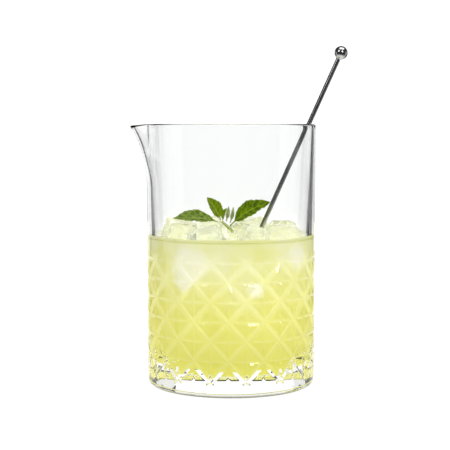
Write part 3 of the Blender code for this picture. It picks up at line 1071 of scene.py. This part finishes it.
@dataclass
class MintSprig:
    """The sprig: a short stem and its leaves and buds."""

    stem_bottom: Vector
    stem_top: Vector
    stem_radius: float = 0.9 * MM

    LEAVES = (
        Leaf("mint_leaf_left", (-7.0, -2.2, 93.2), (-32.5, -8.0, 96.0), 0.14, 12.6, -26, 1.5),
        Leaf("mint_leaf_upright", (-6.0, -0.2, 94.1), (-13.8, 2.0, 107.0), 0.10, 9.2, 62, 1.2),
        Leaf("mint_leaf_small", (-4.6, -2.6, 94.0), (-2.4, -5.2, 101.2), 0.10, 5.0, 75, 0.6, 4),
        Leaf("mint_leaf_right", (-0.6, -1.4, 90.8), (22.2, -6.0, 105.0), 0.16, 13.8, 38, 2.2),
        Leaf("mint_bud_left", (-2.8, 1.4, 93.2), (-1.4, 2.4, 101.6), 0.15, 2.6, 80, 0.3, 3, 4),
        Leaf("mint_bud_right", (-0.6, 2.0, 92.4), (1.2, 3.0, 101.2), 0.15, 2.6, 100, 0.3, 3, 4),
    )

    @classmethod
    def from_frame(cls) -> "MintSprig":
        """The sprig on the frame's stem, which leans from the lower +X corner to the upper -X corner."""
        low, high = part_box("mint_stem")
        radius = cls.stem_radius
        bottom = Vector((high.x - 0.7 * radius, (low.y + high.y) / 2 + 1.1 * MM, low.z + 0.6 * radius))
        top = Vector((low.x + 0.6 * radius, (low.y + high.y) / 2 - 1.1 * MM, high.z - 0.5 * radius))
        return cls(bottom, top)

    def stem(self) -> Mesh:
        """The stem: four-sided with rounded corners, a joint under the leaves, and a cut lower end."""
        length = (self.stem_top - self.stem_bottom).length
        node_at = 0.62 * length
        profile = [(0, 0)]
        for height in between(0, length, 24):
            swell = 0.22 * math.exp(-(((height - node_at) / (0.8 * MM)) ** 2))
            taper = 1 - 0.22 * height / length
            profile.append((self.stem_radius * (taper + swell), height))
        profile.append((0, length))
        bm = spun(profile, 32)
        for vert in bm.verts:
            angle = math.atan2(vert.co.y, vert.co.x)
            vert.co.xy *= 0.94 + 0.06 * math.cos(4 * angle)
        layer = bm.verts.layers.float.new("vein")
        for vert in bm.verts:
            vert[layer] = 0.5 + 0.5 * math.cos(4 * math.atan2(vert.co.y, vert.co.x))
        along = self.stem_top - self.stem_bottom
        place = Matrix.Translation(self.stem_bottom) @ along.to_track_quat("Z", "Y").to_matrix().to_4x4()
        bmesh.ops.transform(bm, matrix=place, verts=bm.verts[:])
        return as_mesh("mint_stem", bm, 50)

    def build(self, finishes: dict[str, Material]) -> None:
        """Builds the sprig, each leaf in its own green."""
        add_piece("sprig_stem", self.stem(), Body.SPRIG, Slot.STEM, [finishes["stem"]], "mint_stem")
        for leaf in self.LEAVES:
            finish = finishes.get(leaf.name, finishes["leaf"])
            add_piece(f"sprig{leaf.name[4:]}", leaf.mesh(), Body.SPRIG, Slot.LEAF, [finish], leaf.name)


# ----------------------------------------------------------
# Studio


@dataclass(frozen=True)
class Light:
    """A soft rectangular lamp, or a pair of glowing side cards, placed in the camera's frame."""

    name: str
    place: Triple
    size: Pair
    strength: float


@dataclass
class Studio:
    """A pale floor, a white backdrop and side cards that keep their places beside the camera, and lamps."""

    camera_place: Vector = Vector((-3.45, -750, 150)) * MM
    pitch: float = math.radians(4.43)
    lens: float = 104.4
    backdrop_distance: float = 1.5
    backdrop_size: Pair = (0.90, 0.58)
    backdrop_shift: float = -0.055
    backdrop_glow: float = 1.15
    floor_radius: float = 0.34
    floor_fade: float = 0.22
    floor_glow: float = 1.02
    surround: float = 0.045
    card_aim: Vector = Vector((0, -0.08, -0.76))
    lamp_aim: Vector = Vector((0, 0, -0.75))

    SIDE_CARDS = (
        Light("base_card", (0.87, 0.225, -1.57), (0.58, 0.15), 0.85),
        Light("upper_card", (0.66, 0.40, -1.70), (0.52, 0.34), 0.85),
        Light("low_card", (0.42, -0.117, -0.76), (0.60, 0.15), 0.62),
    )
    LAMPS = (
        Light("glint", (0.29, 0.308, -0.144), (0.34, 0.06), 0.72),
        Light("overhead", (0.14, 0.64, -0.62), (0.60, 0.40), 1.42),
        Light("fill", (-0.46, 0.46, -0.20), (0.26, 0.26), 0.62),
    )

    def camera(self) -> Object:
        """The camera, level with the rim."""
        data = bpy.data.cameras.new("camera")
        data.lens = self.lens
        data.clip_start, data.clip_end = 0.01, 20
        camera = bpy.data.objects.new("camera", data)
        camera.location = self.camera_place
        camera.rotation_euler = (math.pi / 2 - self.pitch, 0, 0)
        bpy.context.scene.collection.objects.link(camera)
        bpy.context.scene.camera = camera
        return camera

    @staticmethod
    def glowing(shading: Shading, glow: float, alpha: Any = 1.0) -> Material:
        """A matt dark surface that gives white light, and that may fade away."""
        return shading.finish(
            Base_Color=(0.02, 0.02, 0.02),
            Roughness=0.9,
            Specular_IOR_Level=0.0,
            Emission_Color=(1.0, 1.0, 1.0),
            Emission_Strength=glow,
            Alpha=alpha,
        )

    def floor_finish(self) -> Material:
        """A glowing surface that fades away towards the floor's edge."""
        shading = Shading("floor")
        away = (shading.place("X") ** 2.0 + shading.place("Y") ** 2.0) ** 0.5
        fade = ((self.floor_radius - away) / self.floor_fade).held()
        return self.glowing(shading, self.floor_glow, fade)

    def card(
        self, name: str, size: Pair, finish: Material, parent: Object | None, place: Matrix, sides: int = 4
    ) -> None:
        """Adds a flat card.

        Args:
            name: Its name.
            size: Its width and height, or its radius twice when it is round.
            finish: Its material.
            parent: What it moves with.
            place: Its place in its parent's frame. It faces along its own +Z.
            sides: How many edges it has.
        """
        bm = bmesh.new()
        radius = 1 / math.sqrt(2) if sides == 4 else 1
        bmesh.ops.create_circle(bm, cap_ends=True, segments=sides, radius=radius)
        if sides == 4:
            bmesh.ops.rotate(bm, matrix=Matrix.Rotation(math.pi / 4, 3, "Z"), verts=bm.verts[:])
        bmesh.ops.scale(bm, vec=(*size, 1), verts=bm.verts[:])
        mesh = bpy.data.meshes.new(name)
        bm.to_mesh(mesh)
        bm.free()
        mesh.materials.append(finish)
        obj = bpy.data.objects.new(name, mesh)
        obj.parent = parent
        obj.matrix_local = place
        bpy.context.scene.collection.objects.link(obj)

    def side_card(self, card: Light, side: int, camera: Object) -> None:
        """Adds one side card, which faces the glass."""
        spot = Vector((side * card.place[0], *card.place[1:]))
        turn = (self.card_aim - spot).to_track_quat("Z", "Y").to_matrix().to_4x4()
        finish = self.glowing(Shading(card.name), card.strength)
        self.card(f"{card.name}_{side + 1}", card.size, finish, camera, Matrix.Translation(spot) @ turn)

    def lamp(self, lamp: Light, camera: Object) -> None:
        """Adds one lamp, which keeps its place beside the camera."""
        data = bpy.data.lights.new(lamp.name, "AREA")
        data.shape = "RECTANGLE"
        data.size, data.size_y = lamp.size
        data.energy = lamp.strength
        obj = bpy.data.objects.new(lamp.name, data)
        bpy.context.scene.collection.objects.link(obj)
        obj.parent = camera
        spot = Vector(lamp.place)
        turn = (self.lamp_aim - spot).to_track_quat("-Z", "Y").to_matrix().to_4x4()
        obj.matrix_local = Matrix.Translation(spot) @ turn

    def build(self) -> None:
        """Sets the stage round the object."""
        camera = self.camera()
        size = (self.floor_radius, self.floor_radius)
        just_below = Matrix.Translation((0, 0, -0.02 * MM))
        self.card("floor", size, self.floor_finish(), None, just_below, 96)
        white = self.glowing(Shading("backdrop"), self.backdrop_glow)
        behind = Matrix.Translation((self.backdrop_shift, 0, -self.backdrop_distance))
        self.card("backdrop", self.backdrop_size, white, camera, behind)
        for side in (-1, 1):
            for card in self.SIDE_CARDS:
                self.side_card(card, side, camera)
        for lamp in self.LAMPS:
            self.lamp(lamp, camera)
        world = bpy.data.worlds.new("surround")
        world.use_nodes = True
        world.node_tree.nodes["Background"].inputs["Color"].default_value = (*[self.surround] * 3, 1.0)
        scene = bpy.context.scene
        scene.world = world
        scene.view_settings.view_transform = "Standard"
        scene.cycles.max_bounces = 24
        scene.cycles.transmission_bounces = 20
        scene.cycles.glossy_bounces = 8
        scene.cycles.transparent_max_bounces = 16


def main() -> None:
    """Builds the studio and every piece."""
    logging.basicConfig(level=logging.INFO, format="%(message)s")
    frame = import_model()
    Studio().build()
    vessel = Vessel.from_frame()
    vessel.build(ClearGlass().make())
    ice = Ice().build(frame, WetIce().make())
    lime = LimeDrink()
    against_glass = lime.make("drink_body", 0.6, 0.0, 0.0)
    open_top = lime.make("drink_surface", 0.05, 0.5, 0.6)
    Drink.from_frame().build(vessel, ice, against_glass, open_top)
    rod = Steel((0.48, 0.48, 0.48), 0.20, 0.2).make("drawn_steel")
    ball = Steel((0.66, 0.66, 0.66), 0.13, 0.02).make("mirror_steel")
    Stirrer.from_frame().build(rod, ball)
    deep = MintLeaf(linear(136, 170, 0), linear(190, 212, 48), linear(84, 116, 0))
    pale = MintLeaf(linear(164, 190, 84), linear(200, 214, 120), linear(98, 130, 26))
    fresh = MintLeaf(linear(156, 186, 16), linear(196, 212, 64), linear(112, 146, 0))
    stem = MintLeaf(linear(192, 204, 124), linear(210, 218, 156), linear(156, 174, 88))
    cream = MintLeaf(linear(206, 214, 160), linear(226, 230, 190), linear(150, 168, 90))
    finishes = {
        "leaf": deep.make("mint_deep"),
        "stem": stem.make("mint_stem_green"),
        "mint_leaf_left": pale.make("mint_pale"),
        "mint_leaf_upright": fresh.make("mint_fresh"),
        "mint_leaf_small": fresh.make("mint_small"),
        "mint_bud_left": cream.make("mint_bud"),
        "mint_bud_right": cream.make("mint_bud_green"),
    }
    MintSprig.from_frame().build(finishes)


if __name__ == "__main__":
    main()
